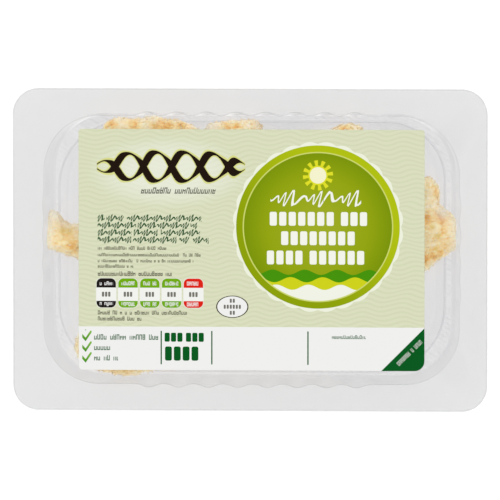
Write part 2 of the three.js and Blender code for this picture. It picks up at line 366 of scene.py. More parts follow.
def dried_cod():
    """Golden, fibrous fish: amber in its creases as painted shade, cream on its ridges and thin edges and
    as painted light on sideways faces, frosted with salt, with a faint painted glow.
    """
    finish, output, place = new_finish("dried_cod")
    grain = place.node("ShaderNodeAttribute", {"attribute_name": "grain"}, output="Vector")
    tone, thin, amber, glassy, pale = [
        place.node("ShaderNodeAttribute", {"attribute_name": name}, output="Fac")
        for name in ("tone", "thin", "amber", "glassy", "pale")]
    fibre = cloud(grain, 1.3, 4, 0.65, (0.3, 1, 1))
    patches = cloud(place, 0.13, 2, 0.5)
    specks = cloud(place, 1.1, 3, 0.75)
    shade = 0.35 * tone + 0.2 * fibre + 0.4 * patches + 0.4 * specks - 0.26 * amber
    flesh = shade.ramp(*FLESH_TONES)
    salt = cloud(place, 2.2, 3, 0.75)
    frost = (salt + 0.25 * tone + 0.3 * specks - 0.3 * amber).spread(0.72, 0.98)
    colour = (frost * 0.35).over(flesh, SALT_FROST)
    colour = (glassy * (0.5 + 0.5 * specks)).over(colour, GLASSY_FLESH)
    # thin flesh is cream, and faces turned sideways take this cream as painted light
    colour = (thin * (0.5 + 0.6 * specks)).over(colour, THIN_AND_SIDE_LIT_FLESH)
    colour = (pale * 0.8).over(colour, PALE_FLESH)
    # painted light: the flesh glows faintly with its own colour, a little more where thin, in place of
    # light shining through it
    glow = (0.215 + 0.03 * thin).over((0, 0, 0), colour)
    bump = place.node("ShaderNodeBump", sockets={
        "Strength": 0.6, "Distance": BUMP_HEIGHT, "Height": 0.6 * fibre + 0.4 * salt})
    skin = place.node("ShaderNodeBsdfPrincipled", sockets={
        "Base Color": colour, "Roughness": frost.spread(0, 1, 0.5, 0.8), "Normal": bump,
        "Emission Color": glow, "Emission Strength": 1.0, "Alpha": 1 - 0.5 * pale,
        "Subsurface Weight": 0.3, "Subsurface Radius": (0.004, 0.0024, 0.001), "Subsurface Scale": 1.0})
    finish_with(output, skin)
    return finish


def pale_finish(name, dark, light, scale, detail=2, low=0.35, rough=0.6):
    """A rough pale finish that varies a little between two colours. Its noise is dark below low."""
    finish, output, place = new_finish(name)
    colour = cloud(place, scale, detail).ramp((low, dark), (1 - low, light))
    skin = place.node("ShaderNodeBsdfPrincipled", sockets={"Base Color": colour, "Roughness": rough})
    finish_with(output, skin)
    return finish


# ---- Label print: places in millimetres from the middle of the pack ----

FIELD, FIELD_LINE, FIELD_GLOW = ink(219, 223, 192), ink(204, 209, 173), ink(236, 240, 226)
PAPER_WHITE = ink(240, 240, 238)
PRINT_GREEN, PRINT_BROWN, PRINT_GREY = ink(2, 88, 30), ink(30, 18, 8), ink(66, 60, 40)
SCRIPT_GREEN, SCRIPT_CREAM = ink(22, 76, 34), ink(243, 244, 234)
WAVE_LENGTH, WAVE_PITCH = 17, 2.14
GLOW_PLACE, GLOW_SIZE = (-38, 36), (40, 18)

ROPE_LEFT = 36.6  # how far the rope's middle is left of the pack's
ROPE_MIDDLE = 38.6
ROPE_END = 34.4
ROPE_FADE = 36  # half the length over which it grows thin
ROPE_SWING = 6.6
ROPE_TURN = math.pi / 13.2
ROPE_ROW = (27.5, 2.9, -50.5, -16)

LEFT_MARGIN = -70.7
STORY_ROWS = [  # middle and height of the print, and its left and right end, as in every row of marks
    (14.6, 1.1, LEFT_MARGIN, -22.5), (11.3, 1.1, LEFT_MARGIN, -24.5), (7.9, 1.1, LEFT_MARGIN, -23.2),
    (4.6, 1.1, LEFT_MARGIN, -19.2)]
NOTE_ROWS = [
    (0.7, 1.6, LEFT_MARGIN, -38.8), (-2.4, 1.5, LEFT_MARGIN, -22.8), (-5.2, 1.5, LEFT_MARGIN, -26.3),
    (-7.7, 1.5, LEFT_MARGIN, -54.1), (-11.2, 2.1, LEFT_MARGIN, -36.3), (-29.3, 1.9, LEFT_MARGIN, -29.1),
    (-32.1, 1.9, LEFT_MARGIN, -50.4)]
CLAIM_ROWS = [(-40.7, 2.5, -72.5, -42.6), (-45.6, 2.5, -72.5, -64.8), (-50.4, 2.5, -72.5, -61.3)]

TABLETS = 5
TABLET_PITCH = 10.12
TABLETS_LEFT = 71.78  # how far their left end is left of the pack's middle
TABLETS_MIDDLE = -20.2
FIGURES_DOWN = 20.8  # how far down the label the figures are
TABLET_ENDS = ((0, ink(30, 26, 24)), (0.2, ink(112, 170, 14)), (0.8, ink(222, 32, 18)))
OVAL_PLACE, OVAL_SIZE = (-8.2, -26.4), (7.5, 5.2)
OVAL_ROWS = ((2, -23.6), (6, -26.4), (2, -29.2))  # blocks, and height on the label

BADGE = (31.5, 10.8)
BADGE_RADIUS = 38.5
BADGE_SCALLOPS, SCALLOP_DEPTH = 14, 1.1
BADGE_FACE = ((0.1, ink(158, 172, 34)), (0.6, ink(146, 164, 10)), (0.88, ink(122, 148, 2)))
SUN_HEIGHT, SUN_RADIUS, SUN_RAYS = 24, 7, 12
BADGE_WAVES = (  # height and colour
    (-21, ink(68, 146, 4)), (-24.5, ink(206, 210, 24)), (-28, ink(240, 243, 230)))
BADGE_ROWS = (  # left end, blocks and height, from the badge's middle
    (-22.9, 7, 3.8), (10.1, 3, 3.8), (-17.6, 8, -5.2), (-24.2, 4, -14.2), (-4.4, 6, -14.2))

STRIP_TOP = -35.8
CLAIM_PITCH = 5.0
TICKS_TOP = -37.3
TICKS_DOWN = 52.8  # how far down the label they end
RULES = (-41.2, -17.7, 26.9)
QUANTITY = (  # left end, number, pitch and width of the blocks, then their middle, height and corner
    (-39.9, 3, 2.95, 2.4, -40.7, 4.2, 0.6), (-30, 3, 2.95, 2.4, -40.7, 4.2, 0.6),
    (-39.9, 4, 4.1, 3.2, -48.3, 6.6, 0.9))
DATE_ROW = (-40.3, 1.8, 37.9, 53.7)
PEEL_LINE = 116.9  # x less y along the edge of the green corner
PEEL_ROW = (85.9, 2, 10.9, 26.4)  # along that edge
DIAGONAL = 0.7071


def bar(x, y, x_from, x_to, middle, height, corner):
    """Mask of a level bar with round corners."""
    half = ((x_to - x_from) / 2, height / 2)
    across = (abs(x - (x_from + x_to) / 2) - (half[0] - corner)) | 0
    up = (abs(y - middle) - (half[1] - corner)) | 0
    return (across * across + up * up) < corner ** 2


def oval(x, y, centre, half):
    """Squared distance from an oval's centre, 1 on its edge."""
    across, up = (x - centre[0]) / half[0], (y - centre[1]) / half[1]
    return across * across + up * up


def streaks(x, frequency, phase):
    """Smooth random values along x, from 0 to 1."""
    return x.node("ShaderNodeTexNoise", {"noise_dimensions": "1D"}, {
        "W": x * frequency + phase, "Scale": 1, "Detail": 0})


def nearest_row(y, rows):
    """The middle, height, left end and right end of the row of print nearest to a height on the label.

    One ramp holds them all, as colours, from -100 to 100 millimetres.
    """
    rows = sorted(rows)
    low, high = rows[0][0] - 3, rows[-1][0] + 3
    bounds = [low] + [(a[0] + b[0]) / 2 for a, b in zip(rows, rows[1:])]
    stops = [((bound - low) / (high - low), [v / 200 + 0.5 for v in row])
             for bound, row in zip(bounds, rows)]
    share = (y - low) / (high - low)
    table = share.node("ShaderNodeValToRGB", {"interpolation": "CONSTANT", "stops": stops}, {"Fac": share})
    parts = [table.node("ShaderNodeSeparateColor", sockets={0: table}, output=i) for i in range(3)]
    parts.append(Term(table.socket.node.outputs["Alpha"]))
    return [(part - 0.5) * 200 for part in parts]


def marks(x, y, row, pitch=0.6, gaps=0.14, short=0.65, phase=0.0):
    """Mask of a row of made-up marks, which stand for small print.

    They are upright blocks, some of them low, each with a slot that is shut or open above or below, with
    gaps between words. Pitch is a share of the height. Gaps and short are shares of the marks.
    """
    middle, height, x_from, x_to = row
    width = pitch * height
    step = (x - x_from) / width
    draw = step.node("ShaderNodeTexWhiteNoise", {"noise_dimensions": "1D"}, {
        "W": step.floor() + 31 * middle + phase})
    across, up = abs(step.fraction() - 0.5), (y - middle) / height
    body = (across < 0.42) * (abs(up) < 0.5)
    slot = (across < 0.16) * ((abs(up) < 0.3) | ((draw > 0.66) * (up > 0)) | ((draw < 0.36) * (up < 0)))
    waist = (abs(up) < 0.1) * ((draw * 5.3).fraction() > 0.6)
    lowered = (up > 0.22) * ((draw * 3.7).fraction() < short)
    shown = ((draw * 11).fraction() > gaps) * (x > x_from) * (x < x_to)
    return body * (1 - slot * (1 - waist)) * (1 - lowered) * shown


def blocks(x, y, x_from, count, pitch, width, middle, height, corner):
    """Mask of a row of like blocks with round corners."""
    step = (x - x_from) / pitch
    across = (step.fraction() - 0.5) * pitch
    return bar(across, y, -width / 2, width / 2, middle, height, corner) * (step > 0) * (step < count)


def scribble(x, y, row, weight):
    """Mask of a slanted line of loops like handwriting, in words. Weight is a share of its height."""
    middle, size, x_from, x_to = row
    leaning = (x - 0.4 * (y - middle)) / size
    sway = (leaning * 1.3 + middle).sin()
    swing, turn = 0.7 + 0.4 * sway, leaning * 4.6 + 1.7 * sway
    steep = (1 + (swing * 4.6 * turn.cos()) ** 2) ** 0.5
    stroke = abs((y - middle) / size - swing * turn.sin()) < (weight * steep)
    words = streaks(x / size, 0.36, 5.1 * middle) > 0.25
    return stroke * words * (x > x_from) * (x < x_to)


def either(masks):
    """Where any of some masks is."""
    total = masks[0]
    for mask in masks[1:]:
        total = total | mask
    return total


def wavy_field(x, y, place):
    """Pale green with level waves and a soft glow at the upper left."""
    drift = cloud(place, 0.03, 1)
    wave = (x * (2 * math.pi / WAVE_LENGTH) + 5 * drift + 1.3 * (y * 0.16).sin()).sin()
    line = (y / WAVE_PITCH + 0.45 * wave).fraction() < 0.4
    colour = (line * 0.45).over(FIELD, FIELD_LINE)
    glow = oval(x, y, GLOW_PLACE, GLOW_SIZE).spread(0, 1, 0.7, 0)
    return glow.over(colour, FIELD_GLOW)


def rope(x, y, colour):
    """A rope of two brush strokes that cross, with a yellow edge, over a row of marks."""
    along = x + ROPE_LEFT
    swing = ROPE_SWING * (1 - (along / ROPE_FADE) ** 4)
    slope = ROPE_SWING * ROPE_TURN * (along * ROPE_TURN).cos()
    steep = (1 + slope * slope) ** 0.5
    weight = (1.15 + 0.7 * (along * ROPE_TURN * 2 + 0.6).sin()) * (1 - (along / ROPE_FADE) ** 6) * steep
    inside = abs(along) < ROPE_END
    strands = [abs(y - ROPE_MIDDLE - side * swing * (along * ROPE_TURN).sin()) for side in (1, -1)]
    halo = either([(strand < weight + 0.6 * steep) * inside for strand in strands])
    colour = (halo * 0.7).over(colour, ink(214, 214, 96))
    colour = either([(strand < weight) * inside for strand in strands]).over(colour, PRINT_BROWN)
    return (marks(x + 0.25 * (ROPE_ROW[0] - y), y, ROPE_ROW) * 0.8).over(colour, PRINT_BROWN)


def left_column(x, y, colour):
    """Four rows of scribble, and the rows of small marks under them."""
    story = scribble(x, y, nearest_row(y, STORY_ROWS), 0.26)
    colour = (story * 0.95).over(colour, SCRIPT_GREEN)
    notes = marks(x, y, nearest_row(y, NOTE_ROWS + CLAIM_ROWS))
    return (notes * 0.9).over(colour, (y < STRIP_TOP).over(PRINT_GREY, PRINT_GREEN))


def tablets(x, y, colour):
    """Five upright tablets with coloured ends and a white middle."""
    step = (x + TABLETS_LEFT) / TABLET_PITCH
    across = (step.fraction() - 0.5) * TABLET_PITCH
    number = step.floor()
    share = number / TABLETS + 0.5 / TABLETS
    shown = (step > 0) * (step < TABLETS)
    edge = bar(across, y, -4.8, 4.8, TABLETS_MIDDLE, 14.1, 2.6)
    colour = (edge * shown * 0.6).over(colour, PAPER_WHITE)
    ends = share.node("ShaderNodeValToRGB", {
        "interpolation": "CONSTANT", "stops": TABLET_ENDS}, {"Fac": share})
    colour = (bar(across, y, -4.5, 4.5, TABLETS_MIDDLE, 13.6, 2.4) * shown).over(colour, ends)
    middle = (abs(y + FIGURES_DOWN) < 3.1) * (abs(across) < 4.6)
    colour = (middle * shown).over(colour, ink(242, 243, 238))
    figures = blocks(across, y, -2.2, 3, 1.45, 1.05, -FIGURES_DOWN, 2.3, 0.35)
    colour = (figures * shown * 0.85).over(colour, PRINT_GREY)
    captions = marks(across, abs(y + 20.55), (4.85, 1.8, -3.1, 3.1), 0.6, 0.1, 0.2, 5 * number)
    return (captions * shown * 0.9).over(colour, PAPER_WHITE)


def oval_mark(x, y, colour):
    """A white oval with a thin edge and three short rows of blocks."""
    edge = oval(x, y, OVAL_PLACE, OVAL_SIZE)
    colour = (edge < 1).over(colour, PRINT_GREY)
    colour = (edge < 0.86).over(colour, PAPER_WHITE)
    rows = [blocks(x, y, OVAL_PLACE[0] - count * 0.7, count, 1.4, 0.95, middle, 1.9, 0.35)
            for count, middle in OVAL_ROWS]
    return (either(rows) * 0.85).over(colour, PRINT_GREY)


def badge(x, y, colour):
    """A round badge with a scalloped rim: a sun, a scribble, three rows of blocks and waves."""
    across, up = x - BADGE[0], y - BADGE[1]
    reach = (across * across + up * up) ** 0.5
    turn = up.math("ARCTAN2", up, across)
    rim = reach < (BADGE_RADIUS + SCALLOP_DEPTH * abs((turn * BADGE_SCALLOPS).sin()))
    colour = rim.over(colour, ink(238, 241, 222))
    ring = (across + up).spread(-BADGE_RADIUS, BADGE_RADIUS)
    colour = (reach < BADGE_RADIUS - 0.6).over(colour, ring.over(ink(140, 160, 2), ink(176, 192, 12)))
    colour = (reach < BADGE_RADIUS - 3.6).over(colour, ink(205, 214, 110))
    inner = reach < BADGE_RADIUS - 4.2
    colour = inner.over(colour, (reach / BADGE_RADIUS).ramp(*BADGE_FACE))
    sun = oval(across, up, (0, SUN_HEIGHT), (SUN_RADIUS, SUN_RADIUS))
    rays = (up - SUN_HEIGHT).math("ARCTAN2", up - SUN_HEIGHT, across) * SUN_RAYS
    colour = (either([(sun < 1) * (rays.sin() > 0), sun < 0.42]) * inner).over(colour, ink(222, 222, 40))
    colour = (sun < 0.3).over(colour, ink(244, 243, 205))
    for level, tone in BADGE_WAVES:
        wave = up < (level + 1.2 * (across * 0.42 + level).sin())
        colour = (wave * inner).over(colour, tone)
    brush = scribble(across, up, (13.2, 3.1, -22, 20), 0.13)
    rows = [blocks(across, up, left, count, 4.4, 3.3, middle, 6.4, 0.8)
            for left, count, middle in BADGE_ROWS]
    return either([brush, *rows]).over(colour, SCRIPT_CREAM)


def white_strip(x, y, colour):
    """The white strip with its ticks, rules and quantity."""
    colour = (y < STRIP_TOP).over(colour, PAPER_WHITE)
    up = ((y + TICKS_DOWN) / CLAIM_PITCH).fraction() * CLAIM_PITCH - CLAIM_PITCH / 2
    arms = ((x + 76.3) * -1.1) | ((x + 76.3) * 1.5)
    ticks = (abs(up - arms + 1.6) < 0.85) * (abs(x + 75.7) < 2.2) * (y > -TICKS_DOWN) * (y < TICKS_TOP)
    colour = ticks.over(colour, (up * 0.2 + 0.5).over(ink(62, 138, 26), ink(132, 186, 66)))
    rules = [bar(x, y, middle - 0.3, middle + 0.3, -45.5, 15.6, 0.2) for middle in RULES]
    quantity = [blocks(x, y, *row) for row in QUANTITY]
    return either(rules + quantity).over(colour, PRINT_GREEN)


def peel_corner(x, y, colour):
    """A short row on the white strip, and the green corner to peel with a row along it."""
    colour = (marks(x, y, DATE_ROW) * 0.85).over(colour, PRINT_GREEN)
    colour = ((x - y) > PEEL_LINE).over(colour, PRINT_GREEN)
    slant, rise = (x + y) * DIAGONAL, (x - y) * DIAGONAL
    return (marks(slant, rise, PEEL_ROW, 0.56, 0.14, 0) * 0.6).over(colour, ink(236, 240, 232))


def printed_label():
    """The label's printed face."""
    finish, output, place = new_finish("printed_label")
    x, y, _ = axes(place)
    colour = wavy_field(x, y, place)
    for part in (white_strip, rope, left_column, tablets, oval_mark, badge, peel_corner):
        colour = part(x, y, colour)
    skin = place.node("ShaderNodeBsdfPrincipled", sockets={
        "Base Color": colour, "Roughness": 0.42, "Specular IOR Level": 0.03})
    finish_with(output, skin)
    return finish


# ---- Outlines ----


def outline(half_x, half_y, corner, flute_share=0.0, centre=(0.0, 0.0), upper_right=0.0):
    """Points round a rounded rectangle, counter-clockwise from its right side, with flutes on its sides.

    Its upper right corner may be larger than the others.
    """
    points = []
    sides = [(*SHORT_SIDE, half_x, half_y), (*LONG_SIDE, half_y, half_x)]
    corners = [corner + upper_right, corner, corner, corner]
    for quarter in range(4):
        flutes, depth, slide, out, half = sides[quarter % 2]
        corner = corners[quarter]
        outward = Vector((1, 0)) @ Matrix.Rotation(-quarter * math.pi / 2, 2)
        forward = Vector((-outward.y, outward.x))
        start = slide - flutes * FLUTE_PITCH / 2
        side = [(out, corners[quarter - 1] - half)]
        for i, push in enumerate(flute_pushes(flutes)):
            side.append((out + flute_share * depth * push, start + i / STEPS_PER_FLUTE * FLUTE_PITCH))
        for i in range(STEPS_PER_CORNER):
            angle = i / STEPS_PER_CORNER * math.pi / 2
            side.append((out - corner + corner * math.cos(angle), half - corner + corner * math.sin(angle)))
        points += [outward * distance + forward * along + Vector(centre) for distance, along in side]
    return points


def flute_pushes(flutes):
    """How far each point along a row of flutes is pushed out, from 0 on a rib to 1 in a flute."""
    return [abs(math.sin(math.pi * i / STEPS_PER_FLUTE)) ** (2 * FLUTE_SHARPNESS)
            for i in range(flutes * STEPS_PER_FLUTE + 1)]


def rib_shares():
    """For each point of an outline, from -1 in a flute to 1 on a rib, and 0 off the flutes."""
    shares = []
    for flutes, _, _ in SIDES:
        shares += [0, *(1 - 2 * push for push in flute_pushes(flutes)), *[0] * STEPS_PER_CORNER]
    return shares


def end_shares():
    """For each point of an outline, 1 on the short sides and 0 on the long ones, eased round corners."""
    shares = []
    for quarter, (flutes, _, _) in enumerate(SIDES):
        here = 1 - quarter % 2
        shares += [here] * (flutes * STEPS_PER_FLUTE + 2)
        shares += [mix(here, 1 - here, smooth(0, 1, i / STEPS_PER_CORNER)) for i in range(STEPS_PER_CORNER)]
    return shares


def loops_to_mesh(name, loops, shades_and_hazes=None):
    """A sheet drawn from its outer loop inwards, loop by loop, and filled inside the last.

    Shades and hazes hold how much greyer than the rest the plastic is drawn at each point of the loops, as
    painted shade and painted light.
    """
    bm = bmesh.new()
    haze = bm.verts.layers.float.new("haze")
    bmesh.ops.create_circle(bm, segments=len(loops[0]), radius=1)
    ring, edges = list(bm.verts), list(bm.edges)
    for number, loop in enumerate(loops):
        if number:
            made = bmesh.ops.extrude_edge_only(bm, edges=edges)["geom"]
            edges = [e for e in made if isinstance(e, bmesh.types.BMEdge)]
            joined = {v: e.other_vert(v) for v in ring for e in v.link_edges if e.other_vert(v) not in ring}
            ring = [joined[v] for v in ring]
            edges = [e for e in edges if e.verts[0] in ring and e.verts[1] in ring]
        for vert, point in zip(ring, loop):
            vert.co = point
        for vert, value in zip(ring, shades_and_hazes[number] if shades_and_hazes else []):
            vert[haze] = value
    bmesh.ops.contextual_create(bm, geom=edges)
    bmesh.ops.recalc_face_normals(bm, faces=bm.faces)
    if sum(face.normal.z for face in bm.faces) < 0:
        bmesh.ops.reverse_faces(bm, faces=bm.faces)
    mesh = bpy.data.meshes.new(name)
    bm.to_mesh(mesh)
    bm.free()
    mesh.shade_smooth()
    return mesh


# ---- Tray ----


def tray_loops():
    """The tray's loops from its rim to its floor, and the painted shade and painted light along each, as
    grey added to the plastic or taken from it.
    """
    ribs, ends = rib_shares(), end_shares()
    loops, shades_and_hazes = [], []

    def add(points, z, haze=0.0, rib_shade=0.0, end_light=0.0, back=(0, 0)):
        top = max(p.y for p in points)
        loops.append([p.to_3d() + Vector((0, 0, z)) for p in points])
        shades_and_hazes.append([haze + rib_shade * rib + end_light * end
                      + (back[0] + back[1] * rib) * smooth(top - BACK_ZONE[0], top - BACK_ZONE[1], p.y)
                      + RIGHT_PAINTED_SHADE * smooth(*RIGHT_BEGINS, p.x) * smooth(*RIGHT_ENDS, p.x)
                      for rib, end, p in zip(ribs, ends, points)])

    def flange(inset):
        return outline(PACK_LENGTH / 2 - inset, PACK_WIDTH / 2 - inset, PACK_CORNER - inset)

    def wall(inset, flute_share):
        half_x, half_y = MOUTH_LENGTH / 2 - inset, MOUTH_WIDTH / 2 - inset * LONG_WALL_SHARE
        corner = mix(MOUTH_CORNER, FOOT[1], inset / FOOT[0])
        shift = mix(MOUTH_SHIFT, FOOT_SHIFT, inset / FOOT[0])
        return outline(half_x, half_y, corner, flute_share, (shift, 0), UPPER_RIGHT[0])

    def panel(inset):
        half_x, half_y = PANEL[0] - inset, PANEL[1] - inset
        return outline(half_x, half_y, PANEL_CORNER - inset, 0, PANEL_MIDDLE, UPPER_RIGHT[1])

    for inset, drop in FLANGE_LOOPS:
        add(flange(inset * MM), FLANGE_TOP - drop * MM, FLANGE_PAINTED_SHADE)
    for inset in RIM_INSETS:
        add(wall(inset, 1), FLANGE_TOP, RIM_PAINTED_LIGHT)
    for i in range(1, LIP_STEPS + 1):
        angle = i / LIP_STEPS * math.pi / 2
        z = FLANGE_TOP - LIP[1] * (1 - math.cos(angle))
        add(wall(LIP[0] * math.sin(angle), 1), z, WALL_THINNESS_AND_PAINTED_LIGHT, 0, 0, BACK_WALL)
    for i in range(1, WALL_STEPS + 1):
        share = i / WALL_STEPS
        inset, z = mix(LIP[0], WALL_FOOT[0], share), mix(FLANGE_TOP - LIP[1], WALL_FOOT[1], share)
        # painted shade on the ribs and painted light in the flutes, most at the wall's middle
        rib_shade = RIB_PAINTED_SHADE * math.sin(math.pi * share) ** 0.5
        back = [mix(*pair, share ** 3) for pair in zip(BACK_WALL, BACK_CURVE)]
        add(wall(inset, mix(1, FOOT_FLUTES, share)), z, WALL_THINNESS_AND_PAINTED_LIGHT, rib_shade, 0, back)
    for i in range(1, CURVE_STEPS + 1):
        share = i / CURVE_STEPS
        angle = share * math.pi / 2
        inset = WALL_FOOT[0] + (FOOT[0] - WALL_FOOT[0]) * (1 - math.cos(angle))
        z = SHEET + (WALL_FOOT[1] - SHEET) * (1 - math.sin(angle))
        points = wall(inset, FOOT_FLUTES * (1 - share) ** 1.5)
        add(points, z, mix(WALL_THINNESS_AND_PAINTED_LIGHT, FOOT_PAINTED_SHADE, share), 0, 0, BACK_CURVE)
    add(wall(FOOT[0] + FOOT_MARGIN, 0), SHEET, FOOT_PAINTED_SHADE, 0, 0, BACK_FLOOR)
    for (inset, run, low, high), haze in zip(PANEL_STEPS, STEP_PAINTED_SHADES):
        for share in STEP_SHARES:
            points, z = panel(inset + run * share), SHEET + mix(low, high, smooth(0, 1, share))
            if share < 0 and not low:
                add(points, z, FOOT_PAINTED_SHADE, 0, 0, BACK_FLOOR)
            else:
                inner = smooth(0.5, 1.4, share + low / MM)
                add(points, z, haze if share <= 1 else 0, 0, END_PAINTED_LIGHT * inner, (BACK_PANEL[0] * inner, 0))
    add(panel(PANEL_INNERMOST), PANEL_TOP, 0, 0, END_PAINTED_LIGHT, BACK_PANEL)
    return loops, shades_and_hazes


def dressed_tray(plastic):
    """The tray, drawn as its upper face and then thickened downwards."""
    tray = link("tray_shell", loops_to_mesh("tray_shell", *tray_loops()))
    sheet = tray.modifiers.new("sheet", "SOLIDIFY")
    sheet.thickness, sheet.offset, sheet.use_even_offset = SHEET, -1, True
    tray.data.materials.append(plastic)
    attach(tray, "root")
    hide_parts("tray")
    return tray


# ---- Film and label ----


def film_height(x, y):
    """Height of the film's upper face. It sags a little inside the mouth, with faint tension waves."""
    inside = smooth(0, SAG_RUN, min(MOUTH_LENGTH / 2 - abs(x - MOUTH_SHIFT), MOUTH_WIDTH / 2 - abs(y)))
    waves = noise.noise(Vector((x * 28, y * 45, 0.3)))
    return FILM_HIGH.z - inside * (FILM_SAG + FILM_WAVE * waves)


def sheet_loops(points, height):
    """Loops from an outline in towards the mouth's middle, with the sheet's height at each point."""
    centre = Vector((MOUTH_SHIFT, 0))
    loops = []
    for share in SHEET_SHARES:
        spots = [centre + (p - centre) * share for p in points]
        loops.append([Vector((p.x, p.y, height(p.x, p.y))) for p in spots])
    return loops


def thin_sheet(name, points, height, thickness, finishes, node):
    """A sheet that stands for a packed one. The last of its finishes is its underside's."""
    sheet = link(name, loops_to_mesh(name, sheet_loops(points, height)))
    body = sheet.modifiers.new("thickness", "SOLIDIFY")
    body.thickness, body.offset, body.material_offset = thickness, -1, len(finishes) - 1
    for finish in finishes:
        sheet.data.materials.append(finish)
    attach(sheet, "root")
    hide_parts(node)
    return sheet


def label_outline():
    """The label's edge, counter-clockwise from its right side, with the round peel corner lower right."""
    half = (LABEL_HIGH - LABEL_LOW) / 2
    middle = (LABEL_HIGH + LABEL_LOW) / 2
    points = []
    for quarter, corner in enumerate([LABEL_CORNER, LABEL_CORNER, LABEL_CORNER, PEEL_CORNER]):
        sx, sy = [(1, 1), (-1, 1), (-1, -1), (1, -1)][quarter]
        pivot = Vector((middle.x + sx * (half.x - corner), middle.y + sy * (half.y - corner)))
        for i in range(STEPS_PER_LABEL_CORNER + 1):
            angle = (quarter + i / STEPS_PER_LABEL_CORNER) * math.pi / 2
            points.append(pivot + corner * Vector((math.cos(angle), math.sin(angle))))
    spaced = []
    for a, b in zip(points, points[1:] + points[:1]):
        count = max(1, round((b - a).length / LABEL_SPACING))
        spaced += [a.lerp(b, i / count) for i in range(count)]
    return spaced


# ---- Fish ----


def even_copy(node_name):
    """A packed fillet's solid as an even, softened mesh."""
    bm = bmesh.new()
    bm.from_mesh(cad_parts[node_name].data)
    bmesh.ops.remove_doubles(bm, verts=bm.verts, dist=WELD)
    mesh = bpy.data.meshes.new(node_name + "_flesh")
    bm.to_mesh(mesh)
    bm.free()
    fillet = link(node_name + "_flesh", mesh)
    remesh = fillet.modifiers.new("even", "REMESH")
    remesh.mode, remesh.voxel_size, remesh.use_smooth_shade = "VOXEL", FLESH_VOXEL, True
    soften = fillet.modifiers.new("soften", "SMOOTH")
    soften.factor, soften.iterations = FLESH_SOFTENING
    dg = bpy.context.evaluated_depsgraph_get()
    made = bpy.data.meshes.new_from_object(fillet.evaluated_get(dg))
    fillet.modifiers.clear()
    fillet.data = made
    return fillet


def flesh_relief(along, across, height, side, seed):
    """Relief in millimetres at a place on a fillet, and its tone from 0 in a crease to 1 on a ridge, which
    paints shade into the creases.

    The flakes trail back from the middle line and part at soft creases, with coarse grain and fibres
    over them. Side is 0 where the surface faces up or down and 1 where it faces sideways.
    """
    wander = noise.noise(Vector((along * 0.05 + seed, across * 0.09, height * 0.07)))
    turn = (along + 0.45 * abs(across) + 0.4 * height + 7 * wander) / FLAKE_PITCH
    flake = turn % 1
    opening = noise.noise(Vector((turn // 1 * 3.7 + seed, across * 0.13, height * 0.2)))
    crease = math.exp(-(min(flake, 1 - flake) / 0.16) ** 2) * smooth(-0.2, 0.6, opening)
    ridge = 1 - 2 * abs(noise.noise(Vector((along * 0.16, across * 0.6 + 2 * wander, height * 0.6 + seed))))
    coarse = noise.fractal(Vector((along * 0.75 + seed, across * 0.95, height * 0.95)), 0.6, 2.1, 4)
    lump = noise.fractal(Vector((along * 0.08 + seed, across * 0.11, height * 0.15)), 0.8, 2.3, 3)
    torn = noise.noise(Vector((along * 0.42, across * 0.42 + seed, height * 0.42)))
    relief = (FLAKE_STEP * (flake - 0.5) + 0.3 * ridge + 0.4 * coarse + 0.8 * lump + 0.8 * side * torn
              - CREASE_DEPTH * crease + 0.4)
    # tone varies with the coarse grain and lumps; it is darker in creases as painted shade and lighter on
    # sideways faces as painted light
    tone = 0.5 + 0.2 * ridge + 0.35 * coarse - 0.5 * crease + 0.4 * side ** 3 + 0.15 * lump
    return min(FLESH_LIMIT, relief), min(1, max(0, tone))


def dents(spots, seed):
    """How deep, in millimetres, the broad hollows are that the flesh has dried into under the label."""
    half_x, half_y = (LABEL_HIGH.x - LABEL_LOW.x) / 2 / MM, LABEL_HIGH.y / MM
    depths = []
    for x, y, z in spots / MM:
        cover = smooth(0, DENT_FADE, min(half_x - abs(x - MOUTH_SHIFT / MM), half_y - abs(y)))
        hollow = noise.fractal(Vector((x * 0.045 + seed, y * 0.06, z * 0.07)), 0.7, 2.2, 2)
        depths.append(cover * smooth(-0.05, 0.5, hollow) * DENT_DEPTH)
    return np.array(depths)


def nearness(spots, place, width):
    """How near points are in plan to a place in millimetres, as a soft share that fades over the width."""
    away = np.hypot(spots[:, 0] / MM - place[0], spots[:, 1] / MM - place[1]) / width
    return np.exp(-away ** 2)


def nearest(spots, places):
    """The largest nearness of points to any of some places."""
    return np.max([nearness(spots, *place) for place in places] + [np.zeros(len(spots))], axis=0)


def pressed(spots, name):
    """The same points, moved to where the fillet lies against the tray and where it is notched."""
    moved = spots.copy()
    for place, width, shift in PRESSED[name]:
        moved += nearness(spots, place, width)[:, None] * np.array(shift) * MM
    return moved


